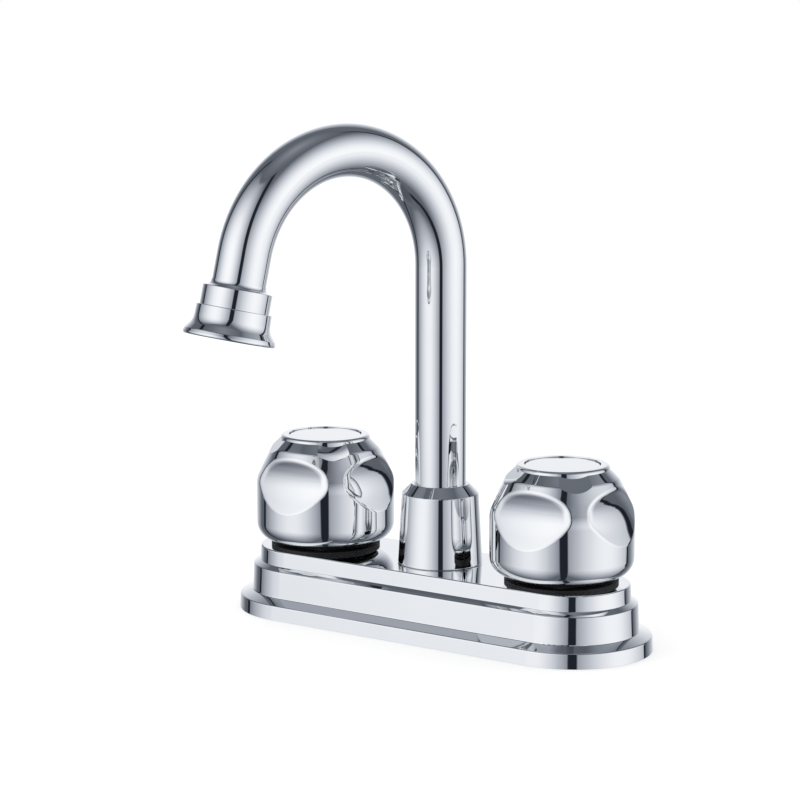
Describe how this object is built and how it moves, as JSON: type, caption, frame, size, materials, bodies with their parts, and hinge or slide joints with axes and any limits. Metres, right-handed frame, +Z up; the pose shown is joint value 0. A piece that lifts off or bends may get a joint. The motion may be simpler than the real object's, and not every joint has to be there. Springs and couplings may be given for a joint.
{
  "type": "basin mixer tap",
  "caption": "Deck-mounted basin mixer tap with scooped round knobs on a stepped base and a swivelling bent-tube spout with an aerator.",
  "frame": {"origin": "centre of the base's face on the deck, midway between the two shanks", "axes": "+Z up from the deck, +X towards the cold handle, -Y towards the user"},
  "size_m": [0.1668, 0.1301, 0.2343],
  "materials": {
    "chrome": "polished",
    "brass": "machined",
    "steel": "zinc plated",
    "ceramic": "lapped ceramic",
    "rubber": "matte",
    "nylon": "matte",
    "dark_plastic": "moulded",
    "grey_plastic": "moulded"
  },
  "bodies": {
    "base": {"base_cover": "chrome", "deck_gasket": "rubber", "waterway_body": "brass", "spout_hub": "chrome", "hot_shank": "brass", "hot_deck_washer": "steel", "hot_lock_nut": "dark_plastic", "hot_bonnet_nut": "dark_plastic", "hot_valve_housing": "brass", "hot_fixed_disc": "ceramic", "hot_seat_seal": "rubber", "cold_shank": "brass", "cold_deck_washer": "steel", "cold_lock_nut": "dark_plastic", "cold_bonnet_nut": "dark_plastic", "cold_valve_housing": "brass", "cold_fixed_disc": "ceramic", "cold_seat_seal": "rubber"},
    "hot_handle": {"hot_knob": "chrome", "hot_index_disc": "chrome", "hot_knob_screw": "steel", "hot_valve_stem": "brass", "hot_moving_disc": "ceramic", "hot_stem_seal": "rubber"},
    "cold_handle": {"cold_knob": "chrome", "cold_index_disc": "chrome", "cold_knob_screw": "steel", "cold_valve_stem": "brass", "cold_moving_disc": "ceramic", "cold_stem_seal": "rubber"},
    "spout": {"spout_tube": "chrome", "spout_insert": "brass", "spout_seals": "rubber", "spout_retainer": "nylon", "outlet_ferrule": "chrome", "aerator_housing": "chrome", "aerator_insert": "grey_plastic", "aerator_washer": "rubber"}
  },
  "joints": [
    {"name": "hot_turn", "type": "hinge", "parent": "base", "child": "hot_handle", "pos_m": [-0.0508, 0, 0], "axis": [0, 0, 1], "range_deg": [0, 90]},
    {"name": "cold_turn", "type": "hinge", "parent": "base", "child": "cold_handle", "pos_m": [0.0508, 0, 0], "axis": [0, 0, 1], "range_deg": [-90, 0]},
    {"name": "spout_swivel", "type": "hinge", "parent": "base", "child": "spout", "pos_m": [0, 0, 0], "axis": [0, 0, 1], "continuous": true}
  ]
}
